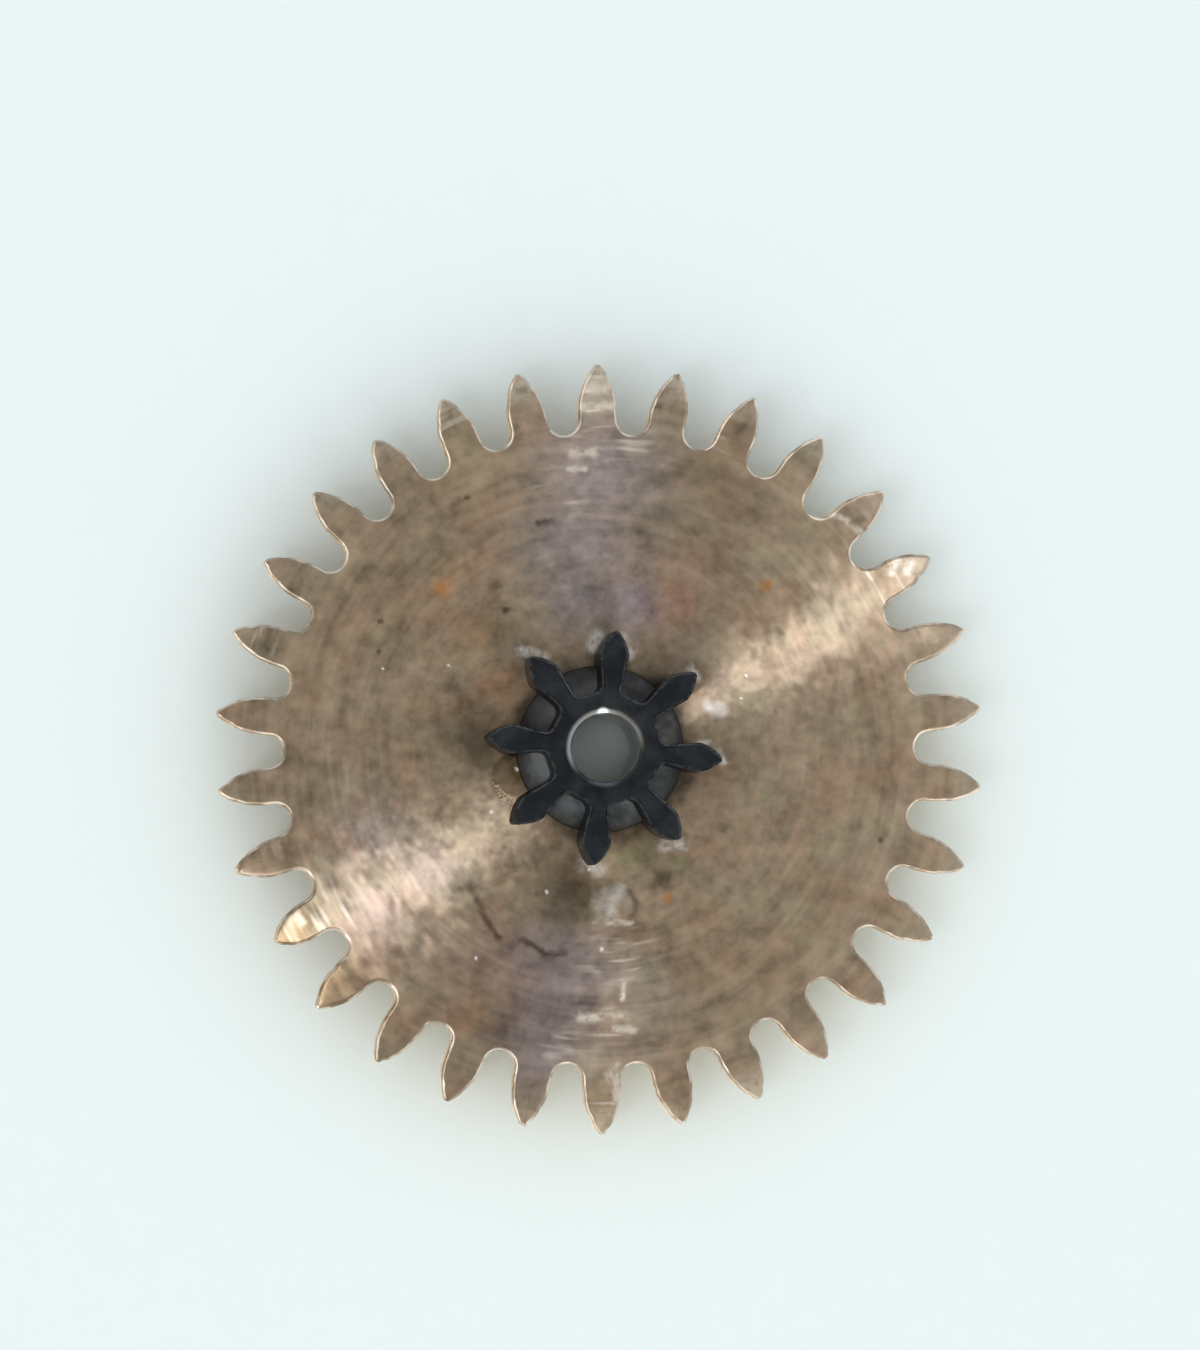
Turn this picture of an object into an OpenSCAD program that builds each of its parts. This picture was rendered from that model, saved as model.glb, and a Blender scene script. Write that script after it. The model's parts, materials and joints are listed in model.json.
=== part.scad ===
// Minute wheel of a watch's motion work: a toothed brass wheel riveted to a steel pinion.
// Lengths are in millimetres and angles in degrees. The bore's axis is +Z, and the pinion
// points up. The origin is where that axis meets the hub's lower face, which runs on the
// main plate of the watch.

/* [Gearing] */
// Module of the wheel and of the pinion, which share one centre distance
gear_module = 0.18; // [0.17:0.005:0.2]
// Number of teeth on the wheel
wheel_teeth = 30; // [27:1:36]
// Number of leaves on the pinion
pinion_leaves = 8; // [8:1:10]
// Angle from the wheel's first tooth to the pinion's first leaf
leaf_turn = -6; // [-22:1:22]

/* [Wheel teeth, in modules] */
// Height of a tooth above the pitch circle
tooth_addendum = 1.24; // [1.1:0.02:1.3]
// Depth of a gap below the pitch circle
tooth_dedendum = 1.68; // [1.5:0.02:1.76]
// Thickness of a tooth between its parallel flanks
tooth_thickness = 1.57; // [1.45:0.01:1.6]
// Radius of the two arcs that make the pointed tip
tooth_arc = 3.08; // [2.4:0.02:3.3]
// Width of the flat that is left at the point
tooth_land = 0.16; // [0.1:0.02:0.3]

/* [Pinion leaves, in modules] */
// Height of a leaf above the pitch circle
leaf_addendum = 0.93; // [0.8:0.01:1]
// Depth of a gap below the pitch circle
leaf_dedendum = 1.64; // [1.5:0.02:1.7]
// Thickness of a leaf at the pitch circle
leaf_thickness = 1.25; // [1.1:0.01:1.3]
// Radius of the two arcs that make the pointed tip
leaf_arc = 1.9; // [1.3:0.05:2.4]
// Width of the flat that is left at the point
leaf_land = 0.12; // [0.06:0.02:0.2]
// Radius of the fillet at the foot of a leaf
leaf_fillet = 0.4; // [0.2:0.02:0.5]

/* [Wheel] */
// Thickness of the brass wheel
wheel_thickness = 0.25; // [0.2:0.01:0.35]

/* [Pinion] */
// Height of the leaves above the wheel
leaf_height = 0.65; // [0.4:0.01:1]
// Diameter of the seat that the wheel is riveted on
seat_d = 1.26; // [1.18:0.01:1.32]
// Gap all round between the seat and the wheel's hole
seat_clearance = 0.005; // [0.002:0.001:0.01]
// Height of the seat's collar above the wheel, between the leaves
collar_height = 0.09; // [0.04:0.01:0.15]
// Chamfer round the collar's upper edge
collar_chamfer = 0.07; // [0.02:0.01:0.1]
// Diameter of the hub under the wheel
hub_d = 1.04; // [0.9:0.01:1.1]
// Height of the hub under the wheel
hub_height = 0.35; // [0.2:0.01:0.5]
// Diameter of the bore that turns on the post
bore_d = 0.52; // [0.4:0.01:0.6]
// Width of the chamfer at both ends of the bore
bore_chamfer = 0.045; // [0.02:0.005:0.06]

/* [Rivet] */
// How far the rivet spreads past the edge of the wheel's hole
rivet_spread = 0.07; // [0.04:0.01:0.1]
// Depth of the countersink that the rivet fills
rivet_depth = 0.09; // [0.05:0.01:0.12]

/* [Hidden] */

$fn = 72;
arc_steps = 5;
fillet_steps = 4;
cut_through = 0.1;
first_tooth_angle = 90;

wheel_pitch_r = gear_module * wheel_teeth / 2;
tooth_tip_r = wheel_pitch_r + tooth_addendum * gear_module;
tooth_root_r = wheel_pitch_r - tooth_dedendum * gear_module;
tooth_half = tooth_thickness * gear_module / 2;
tooth_arc_r = tooth_arc * gear_module;
tooth_half_land = tooth_land * gear_module / 2;

pinion_pitch_r = gear_module * pinion_leaves / 2;
leaf_tip_r = pinion_pitch_r + leaf_addendum * gear_module;
leaf_root_r = pinion_pitch_r - leaf_dedendum * gear_module;
leaf_half = leaf_thickness * gear_module / 2;
leaf_arc_r = leaf_arc * gear_module;
leaf_half_land = leaf_land * gear_module / 2;
leaf_fillet_r = leaf_fillet * gear_module;

seat_r = seat_d / 2;
hole_r = seat_r + seat_clearance;
hub_r = hub_d / 2;
bore_r = bore_d / 2;

wheel_bottom = hub_height;
wheel_top = wheel_bottom + wheel_thickness;
collar_top = wheel_top + collar_height;
pinion_top = wheel_top + leaf_height;

// Points along an arc about a centre, from one angle to another
function arc_points(centre, r, from, to, steps) =
    [for (i = [0:steps]) let (a = from + (to - from) * i / steps) centre + r * [cos(a), sin(a)]];

// One half of a tooth mirrored, so that both halves run counterclockwise about the gear
function mirrored(points) = [for (i = [len(points) - 1:-1:0]) [points[i].x, -points[i].y]];

// A closed outline: the same tooth at each of count places round the gear
function all_round(tooth, count) =
    [for (k = [0:count - 1]) let (a = 360 * k / count, c = cos(a), s = sin(a))
        for (p = tooth) [c * p.x - s * p.y, s * p.x + c * p.y]];

// Lower half of a wheel tooth that points along +X: a round-bottomed gap, a parallel flank
// and one arc of the pointed tip. The gap's circle touches the flanks on both sides of it.
function half_wheel_tooth() =
    let (half_pitch = 180 / wheel_teeth,
         s = sin(half_pitch),
         gap_r = (tooth_root_r * s - tooth_half) / (1 - s),
         gap_centre_r = tooth_root_r + gap_r,
         gap_centre = gap_centre_r * [cos(half_pitch), -s],
         rise = tooth_arc_r - tooth_half,
         end_angle = -asin((rise + tooth_half_land) / tooth_arc_r),
         arc_start_r = tooth_tip_r - tooth_arc_r * cos(end_angle))
    concat(arc_points(gap_centre, gap_r, 180 - half_pitch, 90, fillet_steps),
           arc_points([arc_start_r, rise], tooth_arc_r, -90, end_angle, arc_steps));

// Lower half of a pinion leaf that points along +X: a fillet, a radial flank and one arc of
// the pointed tip, which passes through the flank's end and the edge of the land.
function half_leaf() =
    let (half_angle = asin(leaf_half / pinion_pitch_r),
         fillet_centre_r = leaf_root_r + leaf_fillet_r,
         fillet_angle = half_angle + asin(leaf_fillet_r / fillet_centre_r),
         fillet_centre = fillet_centre_r * [cos(fillet_angle), -sin(fillet_angle)],
         flank_end = pinion_pitch_r * [cos(half_angle), -sin(half_angle)],
         land_edge = [leaf_tip_r, -leaf_half_land],
         chord = land_edge - flank_end,
         chord_angle = atan2(chord.y, chord.x),
         half_turn = asin(norm(chord) / 2 / leaf_arc_r),
         arc_centre = flank_end + leaf_arc_r * [cos(chord_angle + 90 - half_turn),
                                                sin(chord_angle + 90 - half_turn)])
    concat(arc_points(fillet_centre, leaf_fillet_r, 180 - fillet_angle, 90 - half_angle, fillet_steps),
           arc_points(arc_centre, leaf_arc_r, chord_angle - 90 - half_turn,
                      chord_angle - 90 + half_turn, arc_steps));

// Outline of the wheel, with its first tooth along +X
module wheel_outline() {
    lower = half_wheel_tooth();
    polygon(all_round(concat(lower, mirrored(lower)), wheel_teeth));
}

// Outline of the pinion, with its first leaf along +X
module pinion_outline() {
    lower = half_leaf();
    polygon(all_round(concat(lower, mirrored(lower)), pinion_leaves));
}

// The swaged edge of the seat. It fills the countersink under the wheel.
module rivet() {
    translate([0, 0, wheel_bottom])
        cylinder(h = rivet_depth, r1 = hole_r + rivet_spread, r2 = hole_r);
}

// Bore for the post, with a chamfer at each end
module bore() {
    mouth_r = bore_r + bore_chamfer;
    translate([0, 0, -cut_through])
        cylinder(h = pinion_top + 2 * cut_through, r = bore_r);
    cylinder(h = bore_chamfer, r1 = mouth_r, r2 = bore_r);
    translate([0, 0, pinion_top - bore_chamfer])
        cylinder(h = bore_chamfer, r1 = bore_r, r2 = mouth_r);
}

// Brass wheel: a flat toothed disc, pierced for the seat and countersunk from below
module wheel() {
    color([0.60, 0.47, 0.33])
    difference() {
        translate([0, 0, wheel_bottom])
            linear_extrude(wheel_thickness)
                rotate(first_tooth_angle) wheel_outline();
        translate([0, 0, wheel_bottom - cut_through])
            cylinder(h = wheel_thickness + 2 * cut_through, r = hole_r);
        rivet();
    }
}

// Steel pinion: leaves above the wheel, a seat through it and a hub below, all one piece
module pinion() {
    color([0.16, 0.17, 0.19])
    difference() {
        union() {
            translate([0, 0, wheel_top])
                linear_extrude(leaf_height)
                    rotate(first_tooth_angle + leaf_turn) pinion_outline();
            translate([0, 0, wheel_bottom])
                cylinder(h = collar_top - collar_chamfer - wheel_bottom, r = seat_r);
            translate([0, 0, collar_top - collar_chamfer])
                cylinder(h = collar_chamfer, r1 = seat_r, r2 = seat_r - collar_chamfer);
            rivet();
            cylinder(h = wheel_bottom, r = hub_r);
        }
        bore();
    }
}

wheel();
pinion();
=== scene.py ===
import json
import math

import bpy
import numpy as np
from mathutils import Matrix, Vector


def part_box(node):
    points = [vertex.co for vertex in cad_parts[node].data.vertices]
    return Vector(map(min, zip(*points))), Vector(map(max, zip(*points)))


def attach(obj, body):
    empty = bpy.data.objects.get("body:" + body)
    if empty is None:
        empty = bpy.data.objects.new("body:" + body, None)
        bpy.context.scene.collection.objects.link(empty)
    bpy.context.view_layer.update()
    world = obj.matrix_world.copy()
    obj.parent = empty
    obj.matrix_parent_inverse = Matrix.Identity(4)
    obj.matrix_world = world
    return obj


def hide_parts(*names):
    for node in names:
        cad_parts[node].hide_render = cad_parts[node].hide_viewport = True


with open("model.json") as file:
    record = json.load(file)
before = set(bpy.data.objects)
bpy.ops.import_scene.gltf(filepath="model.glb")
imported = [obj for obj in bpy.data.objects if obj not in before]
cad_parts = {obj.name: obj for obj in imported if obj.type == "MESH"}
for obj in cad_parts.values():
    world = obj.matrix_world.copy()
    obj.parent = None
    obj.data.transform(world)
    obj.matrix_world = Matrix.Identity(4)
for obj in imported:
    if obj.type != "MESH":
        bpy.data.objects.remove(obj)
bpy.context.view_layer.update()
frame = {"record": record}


# The wheel. A disc of brass, turned flat on the lathe, which leaves fine rings on its face, and
# then cut with 30 pointed teeth. Its hole sits on the pinion's seat and is countersunk below for
# the rivet. The lengths in this file are in millimetres until a mesh is made.
MM = 0.001
mounts = {mount["name"]: mount for mount in frame["record"]["mounts"]}
wheel_low, wheel_high = (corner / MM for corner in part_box("wheel"))

TEETH = 30
FIRST_TOOTH = math.radians(90)

# The teeth's sizes, in modules: the depth of a gap below the pitch circle, half a tooth's
# thickness, the radius of the two arcs of its point, and half the flat that these would leave
# at the tip, where a small round end takes its place.
TOOTH_DEDENDUM = 1.68
TOOTH_HALF = 0.785
TOOTH_ARC = 3.08
TOOTH_HALF_LAND = 0.08

wheel_pitch_r = mounts["wheel_mesh"]["dims"]["r_mm"]
module = 2 * wheel_pitch_r / TEETH
wheel_bottom = wheel_low.z
wheel_top = wheel_high.z
tooth_tip_r = wheel_high.y
tooth_root_r = wheel_pitch_r - TOOTH_DEDENDUM * module
tooth_half = TOOTH_HALF * module
tooth_arc_r = TOOTH_ARC * module

# The pinion's seat, the wheel's hole round it, and the countersink under the hole.
SEAT_R = 0.63
HOLE_R = 0.635
RIVET_R = 0.705
RIVET_DEPTH = 0.09

# The edge of the face is rubbed down over a narrow border, and its corner is slightly round.
ROLL_WIDTH = 0.024
ROLL_DROP = 0.002
CORNER_R = 0.006


def arc(centre, radius, start, end, steps):
    """Points at equal angles along a circle's arc, from one angle to another, in radians."""
    angle = np.linspace(start, end, steps + 1)
    return np.asarray(centre) + radius * np.stack([np.cos(angle), np.sin(angle)], axis=1)


def pointed_tip(centre, radius, start, tip, steps, round_steps):
    """One side of a tooth's point: an arc round centre from the angle start, then the small
    round end that touches this arc inside and reaches the radius tip on the tooth's axis. The
    round end's radius is q where (T - q)^2 + c^2 = (R - q)^2, with T the tip's distance past
    the arc's centre, c the centre's height and R the arc's radius."""
    reach = tip - centre[0]
    round_r = (radius ** 2 - reach ** 2 - centre[1] ** 2) / (2 * (radius - reach))
    meet = math.atan2(-centre[1], reach - round_r)
    side = arc(centre, radius, start, meet, steps)
    end = arc((tip - round_r, 0.0), round_r, meet, 0.0, round_steps)
    return np.concatenate([side, end[1:]])


def whole_tooth(lower):
    """A tooth along +X from its lower half, which starts at the middle of a gap and ends at the
    tip. The last point is left out, because the next tooth starts there."""
    upper = lower[-2:0:-1] * (1, -1)
    return np.concatenate([lower, upper])


def turned(points, angle):
    """Points turned about the axis by one angle, or by an angle for each."""
    x, y = points[..., 0], points[..., 1]
    c, s = np.cos(angle), np.sin(angle)
    return np.stack([c * x - s * y, s * x + c * y], axis=-1)


def outward(outline):
    """Unit normals of a closed outline that runs counterclockwise, from each point's
    neighbours."""
    along = np.roll(outline, -1, axis=0) - np.roll(outline, 1, axis=0)
    normal = np.stack([along[:, 1], -along[:, 0]], axis=1)
    return normal / np.linalg.norm(normal, axis=1, keepdims=True)


def room_inside(tooth, normal):
    """How far each point of some equal teeth along +X can move inwards before the two sides
    meet: its distance from the tooth's axis over the sideways part of its normal. At the very
    tip, where both are 0, it is the neighbour's."""
    room = np.abs(tooth[:, 1]) / np.maximum(np.abs(normal[..., 1]), 1e-3)
    tip = len(tooth) // 2
    room[:, tip] = room[:, tip - 1]
    return room.reshape(-1)


def ring(plan, height):
    """One closed ring of a surface: a plan outline at one height, or at a height for each
    point."""
    heights = np.broadcast_to(np.asarray(height, float), plan.shape[:1])
    return np.concatenate([plan, heights[:, None]], axis=1)


# Faces that meet at more than this angle keep a sharp edge between them.
SHARP_EDGE = math.radians(38)


def solid_of_rings(name, rings, wear, material):
    """A closed mesh through rings of equal length, each joined to the next and the last to the
    first. Points that coincide become one, and faces that this leaves without area go. Wear
    holds a number from 0 to 1 for each ring, which the finish reads along the edges."""
    grid = np.stack(rings)
    count, around = grid.shape[:2]
    points = grid.reshape(-1, 3)
    keys = np.round(points * 1e6).astype(np.int64)
    unused, first, same = np.unique(keys, axis=0, return_index=True, return_inverse=True)
    index = same.reshape(count, around)
    along = np.roll(index, -1, axis=0)
    corners = [index, along, np.roll(along, -1, axis=1), np.roll(index, -1, axis=1)]
    quads = np.stack(corners, axis=-1).reshape(-1, 4)
    repeat = quads == np.roll(quads, 1, axis=1)
    whole = quads[~repeat.any(axis=1)]
    folded = repeat.sum(axis=1) == 1
    triangles = quads[folded][~repeat[folded]].reshape(-1, 3)
    mesh = bpy.data.meshes.new(name)
    mesh.from_pydata((points[first] * MM).tolist(), [], whole.tolist() + triangles.tolist())
    worn = np.repeat(np.asarray(wear, np.float32), around)[first]
    mesh.attributes.new("wear", "FLOAT", "POINT").data.foreach_set("value", worn)
    mesh.polygons.foreach_set("use_smooth", np.ones(len(mesh.polygons), bool))
    mesh.set_sharp_from_angle(angle=SHARP_EDGE)
    mesh.materials.append(material)
    piece = bpy.data.objects.new(name, mesh)
    bpy.context.scene.collection.objects.link(piece)
    return piece


def wheel_tooth():
    """Half a tooth along +X: a quarter of the round gap, the parallel flank, and the pointed
    tip's arc. It returns the points and the angles that their lines leave the hole at: a
    point's own in the gap, and from there to the tip evenly spread, so that no two lines
    from the hole to the outline cross."""
    half_pitch = math.pi / TEETH
    s = math.sin(half_pitch)
    gap_r = (tooth_root_r * s - tooth_half) / (1 - s)
    gap_centre = (tooth_root_r + gap_r) * np.array([math.cos(half_pitch), -s])
    rise = tooth_arc_r - tooth_half
    land = TOOTH_HALF_LAND * module
    arc_start = tooth_tip_r - math.sqrt(tooth_arc_r ** 2 - (rise + land) ** 2)
    gap = arc(gap_centre, gap_r, math.pi - half_pitch, math.pi / 2, 8)
    point = pointed_tip((arc_start, rise), tooth_arc_r, -math.pi / 2, tooth_tip_r, 12, 3)
    points = np.concatenate([gap, point])
    fan = np.arctan2(points[:, 1], points[:, 0])
    way = np.cumsum(np.linalg.norm(np.diff(points[len(gap) - 1:], axis=0), axis=1))
    fan[len(gap):] = fan[len(gap) - 1] * (1 - way / way[-1])
    return points, fan


# How teeth wear: the spread of their sideways bend, the most that one is shorter, and how
# strongly the edge gives way.
TOOTH_BEND = 0.008
TOOTH_LOSS = 0.012
EDGE_WEAR = 0.007

# Teeth that differ more than the rest, counted counterclockwise from the top one: how far the
# tip leans to that side, and how much shorter the tooth is. The teeth at the top and the bottom
# are whole.
WORN_TEETH = ((10, 0.014, 0.058), (26, -0.01, 0.006), (25, -0.012, 0.012), (3, -0.012, 0.02))
WHOLE_TEETH = [0, 15]


def worn_teeth(tooth):
    """All teeth from one, each a little different, as small teeth are after years of work. With
    f the share of the way from root to tip, a tooth bends sideways by a bend times f squared,
    is shorter by a loss times f cubed, and gives way inwards along its edge by a wave with a
    few random parts."""
    rng = np.random.default_rng(30)
    teeth = np.repeat(tooth[None], TEETH, axis=0)
    share = np.clip((teeth[..., 0] - tooth_root_r) / (tooth_tip_r - tooth_root_r), 0, 1)
    bend = rng.normal(0, TOOTH_BEND, TEETH)
    loss = TOOTH_LOSS * rng.random(TEETH)
    for number, sideways, shorter in WORN_TEETH:
        bend[number], loss[number] = sideways, shorter
    loss[WHOLE_TEETH] = 0
    bend[WHOLE_TEETH] = 0
    teeth[..., 0] -= loss[:, None] * share ** 3
    teeth[..., 1] += bend[:, None] * share ** 2
    angle = FIRST_TOOTH + 2 * math.pi / TEETH * np.arange(TEETH)[:, None]
    outline = turned(teeth, angle).reshape(-1, 2)
    way = np.linspace(0, 2 * math.pi, len(outline), endpoint=False)
    count = 24
    waves = rng.integers(90, 420, count)
    phases = rng.uniform(0, 2 * math.pi, count)
    wave = np.cos(way[:, None] * waves + phases).sum(axis=1) / count ** 0.5
    inward = EDGE_WEAR * np.clip(wave, 0, 2) * np.sqrt(share.reshape(-1))
    plain = turned(np.repeat(tooth[None], TEETH, axis=0), angle).reshape(-1, 2)
    plain_normal = turned(outward(plain).reshape(TEETH, -1, 2), -angle)
    return outline - outward(outline) * inward[:, None], room_inside(tooth, plain_normal)


tooth, tooth_fan = wheel_tooth()
outline, room = worn_teeth(whole_tooth(tooth))
normal = outward(outline)
tooth_fan = np.concatenate([tooth_fan, -tooth_fan[-2:0:-1]])
spoke = (FIRST_TOOTH + 2 * math.pi / TEETH * np.arange(TEETH)[:, None] + tooth_fan).reshape(-1)
spoke = np.stack([np.cos(spoke), np.sin(spoke)], axis=1)


# How far the tips droop, from which radius and over what width, how deep the face's waves
# are, and how far and which way round the wheel is sprung.
TIP_DROOP = 0.012
DROOP_START = 2.62
DROOP_WIDTH = 0.3
UNEVENNESS = 0.00065
SPRUNG = 0.015
SPRUNG_TURN = math.radians(50)


def relief(plan):
    """How far the face lies below its highest level. The teeth's tips droop with the square of
    the way beyond a circle just inside the pitch circle, the face is gently uneven, as a sum
    of long waves, and the whole wheel is sprung out of flat with two hills and two dales, as
    the sine of twice the angle round the axis."""
    radius = np.linalg.norm(plan, axis=1)
    droop = TIP_DROOP * np.clip((radius - DROOP_START) / DROOP_WIDTH, 0, 1) ** 2
    x, y = plan[:, 0], plan[:, 1]
    uneven = 2 + np.sin(1.9 * x + 1.1 * y + 0.4) + np.sin(2.7 * y - 1.6 * x + 2.0)
    outer = np.clip((radius - 0.7) / 0.5, 0, 1)
    sprung = 1 - np.sin(2 * (np.arctan2(y, x) - SPRUNG_TURN))
    return droop + UNEVENNESS * uneven * outer + SPRUNG * sprung


def top_edge(outline, normal, room, top, roll, drop, corner):
    """Rings over the edge of a flat top: a border that falls with the square of the way to the
    edge, and then the quarter round of the corner. Top gives the height at each point."""
    made = []
    border = np.minimum(roll, 0.75 * room) - corner
    for q in (1.0, 0.7, 0.4, 0.2):
        plan = outline - normal * (corner + border * q)[:, None]
        made.append(ring(plan, top(plan) - drop * (1 - q) ** 2))
    edge_top = made[-1][:, 2]
    for angle in np.radians([0, 30, 60, 90]):
        plan = outline - normal * corner * (1 - math.sin(angle))
        made.append(ring(plan, edge_top - drop * 0.3 - corner * (1 - math.cos(angle))))
    return made


edge_rings = top_edge(outline, normal, room, lambda plan: wheel_top - relief(plan),
                      ROLL_WIDTH, ROLL_DROP, CORNER_R)


# The face's straight spokes end at this circle, just inside the gaps between the teeth.
foot_r = tooth_root_r - 0.06


def web(inner_r, edge, height):
    """Rings from a circle out to an edge: along straight spokes to the circle at their foot,
    and from there to the edge's own points. Height gives the height at each point. The edge
    itself isn't among them."""
    inner, foot = spoke * inner_r, spoke * foot_r
    plans = [inner + share * (foot - inner) for share in np.linspace(0, 1, 13)[:-1]]
    plans += [foot + share * (edge - foot) for share in np.linspace(0, 1, 10)[:-1]]
    return [ring(plan, height(plan)) for plan in plans]


# How far below the face's highest level the hole's plain wall and the teeth's walls begin.
HOLE_TOP = 0.04
WALL_TOP = 0.05

face_rings = web(HOLE_R, edge_rings[0][:, :2], lambda plan: wheel_top - relief(plan))
hole = face_rings[0][:, :2]
wall_heights = np.linspace(wheel_top - WALL_TOP, wheel_bottom + CORNER_R, 5)
wall_rings = [ring(outline, z) for z in wall_heights]
under_rings = []
for angle in np.radians([60, 30, 0]):
    plan = outline - normal * CORNER_R * (1 - math.sin(angle))
    under_rings.append(ring(plan, wheel_bottom + CORNER_R * (1 - math.cos(angle))))
flat_rings = web(RIVET_R, under_rings[2][:, :2], lambda plan: wheel_bottom)[::-1]
hole_rings = [ring(hole, wheel_bottom + RIVET_DEPTH), ring(hole, wheel_top - HOLE_TOP)]

# All rings from the hole's upper edge out, down and back in, and how worn each of them is.
wheel_rings = face_rings + edge_rings + wall_rings + under_rings + flat_rings + hole_rings
wheel_wear = ([0] * len(face_rings) + [0, 0.2, 0.5, 0.8, 1, 1, 1, 0.7] + [0.4] + [0] * 4
              + [0.6, 0.6, 0.3] + [0] * len(flat_rings) + [0, 0])


class Number:
    """A number that varies over a surface. Arithmetic on it adds Math nodes, so that a pattern
    is written as an ordinary expression."""

    def __init__(self, finish, socket):
        self.finish = finish
        self.socket = socket

    def __add__(self, other):
        return self.finish.math("ADD", self, other)

    def __radd__(self, other):
        return self.finish.math("ADD", other, self)

    def __sub__(self, other):
        return self.finish.math("SUBTRACT", self, other)

    def __rsub__(self, other):
        return self.finish.math("SUBTRACT", other, self)

    def __mul__(self, other):
        return self.finish.math("MULTIPLY", self, other)

    def __rmul__(self, other):
        return self.finish.math("MULTIPLY", other, self)

    def __truediv__(self, other):
        return self.finish.math("DIVIDE", self, other)

    def __rtruediv__(self, other):
        return self.finish.math("DIVIDE", other, self)

    def __abs__(self):
        return self.finish.math("ABSOLUTE", self)


class Finish:
    """The nodes of a material or of the world. One method, node, adds each of them."""

    def __init__(self, tree):
        self.tree = tree

    def node(self, kind, settings, inputs, output=0):
        """Adds a node of this kind, sets its settings first, then gives each input its value
        or its link, and returns one of its outputs."""
        made = self.tree.nodes.new(kind)
        for name, value in settings.items():
            setattr(made, name, value)
        for name, value in inputs.items():
            self.feed(made.inputs[name], value)
        return Number(self, made.outputs[output])

    def feed(self, socket, value):
        """Links a varying number or colour to a socket, or sets a plain value on it."""
        if isinstance(value, Number):
            self.tree.links.new(value.socket, socket)
        else:
            socket.default_value = value

    def math(self, operation, *values):
        return self.node("ShaderNodeMath", {"operation": operation}, dict(enumerate(values)))

    def vector(self, operation, *values, output="Vector"):
        return self.node("ShaderNodeVectorMath", {"operation": operation}, dict(enumerate(values)),
                         output)

    def times(self, vector, factor):
        """A colour or vector multiplied by one number."""
        return self.node("ShaderNodeVectorMath", {"operation": "SCALE"}, {0: vector, 3: factor},
                         "Vector")

    def smooth(self, value, low, high, start=0.0, end=1.0):
        """Start below low and end above high, with an S-curve between. Low may be the larger."""
        return self.node("ShaderNodeMapRange", {"interpolation_type": "SMOOTHSTEP"},
                         {"Value": value, "From Min": low, "From Max": high,
                          "To Min": start, "To Max": end})

    def blend(self, share, first, second):
        """The first colour where share is 0 and the second where it is 1."""
        colours = [(*c, 1) if isinstance(c, tuple) else c for c in (first, second)]
        return self.node("ShaderNodeMix", {"data_type": "RGBA"},
                         {0: share, 6: colours[0], 7: colours[1]}, 2)

    def noise(self, place, scale, detail=2.0, rough=0.5, output="Fac"):
        return self.node("ShaderNodeTexNoise", {},
                         {"Vector": place, "Scale": scale, "Detail": detail,
                          "Roughness": rough}, output)

    def towards(self, vector, direction):
        """How far a vector reaches in a direction: their dot product."""
        return self.vector("DOT_PRODUCT", vector, direction, output="Value")

    def tinted(self, share, colour, tint):
        """A colour where share is 0, and where it is 1 the colour multiplied by a tint."""
        return self.blend(share, colour, self.vector("MULTIPLY", colour, tint))

    def whichever(self, marks):
        """The largest of several masks."""
        most = marks[0]
        for mark in marks[1:]:
            most = self.math("MAXIMUM", most, mark)
        return most


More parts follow.
